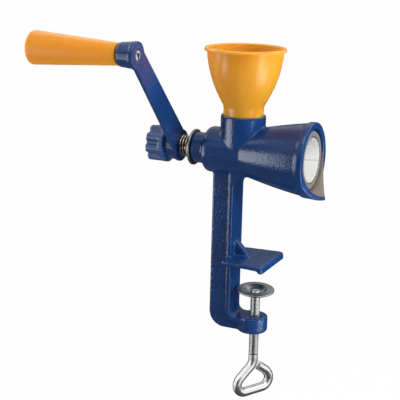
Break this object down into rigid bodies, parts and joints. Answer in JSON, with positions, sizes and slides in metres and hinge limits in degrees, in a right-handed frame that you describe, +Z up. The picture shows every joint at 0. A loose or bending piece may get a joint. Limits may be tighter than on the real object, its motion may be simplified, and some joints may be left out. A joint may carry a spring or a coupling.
{
  "type": "spice mill",
  "caption": "Hand-cranked table-clamp spice mill: cast body with beaked bell, push-in hopper, spring-set crank with turning grip, adjusting knob and clamp screw with a bent loop.",
  "frame": {"origin": "The corner where the table's top edge meets the column: column front face, middle plane, underside of the table plate's lip.", "axes": "X forward along the spindle to the mouth, Y to the left seen from behind the crank, Z up."},
  "size_m": [0.2329, 0.1348, 0.3256],
  "materials": {
    "blue_enamel": "glossy dark blue enamel over rough casting",
    "blue_knob": "satin blue moulding",
    "amber_plastic": "glossy opaque amber moulding",
    "grip_plastic": "satin orange yellow moulding",
    "grey_iron": "bare grey iron",
    "ground_steel": "ground bright steel",
    "dark_steel": "oiled dark steel",
    "zinc_steel": "bright zinc plate",
    "bronze": "plain bearing bronze"
  },
  "bodies": {
    "housing": {"mill_body": "blue_enamel", "grinding_ring": "grey_iron", "spindle_bush": "bronze"},
    "shaft": {"spindle": "ground_steel", "feed_worm": "grey_iron", "worm_pin": "ground_steel", "grinding_cone": "ground_steel", "cone_pin": "ground_steel", "thrust_washer": "dark_steel", "spring": "dark_steel"},
    "crank": {"crank_arm": "blue_enamel", "grip_pin": "zinc_steel", "grip_washer": "dark_steel", "head_washer": "dark_steel"},
    "handle": {"grip": "grip_plastic"},
    "knob": {"adjusting_knob": "blue_knob", "knob_insert": "zinc_steel"},
    "cup": {"hopper": "amber_plastic"},
    "pad": {"clamp_pad": "zinc_steel"},
    "screw": {"clamp_screw": "zinc_steel"}
  },
  "joints": [
    {"name": "crank_turn", "type": "hinge", "parent": "housing", "child": "shaft", "pos_m": [0, 0, 0.0985], "axis": [1, 0, 0], "continuous": true},
    {"name": "crank_slide", "type": "slide", "parent": "shaft", "child": "crank", "axis": [1, 0, 0], "range_m": [0, 0.0019], "deforming": ["spring"]},
    {"name": "knob_turn", "type": "hinge", "parent": "crank", "child": "knob", "pos_m": [-0.075, 0, 0.0985], "axis": [1, 0, 0], "range_deg": [0, 549]},
    {"name": "grip_spin", "type": "hinge", "parent": "crank", "child": "handle", "pos_m": [-0.1, -0.0854, 0.18632], "axis": [1, 0, 0], "continuous": true},
    {"name": "hopper_lift", "type": "slide", "parent": "housing", "child": "cup", "axis": [0, 0, 1], "range_m": [0, 0.018]},
    {"name": "pad_slide", "type": "slide", "parent": "housing", "child": "pad", "axis": [0, 0, 1], "range_m": [-0.0195, 0.0222]},
    {"name": "screw_turn", "type": "hinge", "parent": "pad", "child": "screw", "pos_m": [0.02, 0, -0.06], "axis": [0, 0, 1], "range_deg": [-5600, 6390]}
  ],
  "couplings": [
    {"joint": "knob_turn", "follows": "crank_slide", "rad_per_m": 5026.5},
    {"joint": "pad_slide", "follows": "screw_turn", "m_per_rad": 0.00019894}
  ]
}
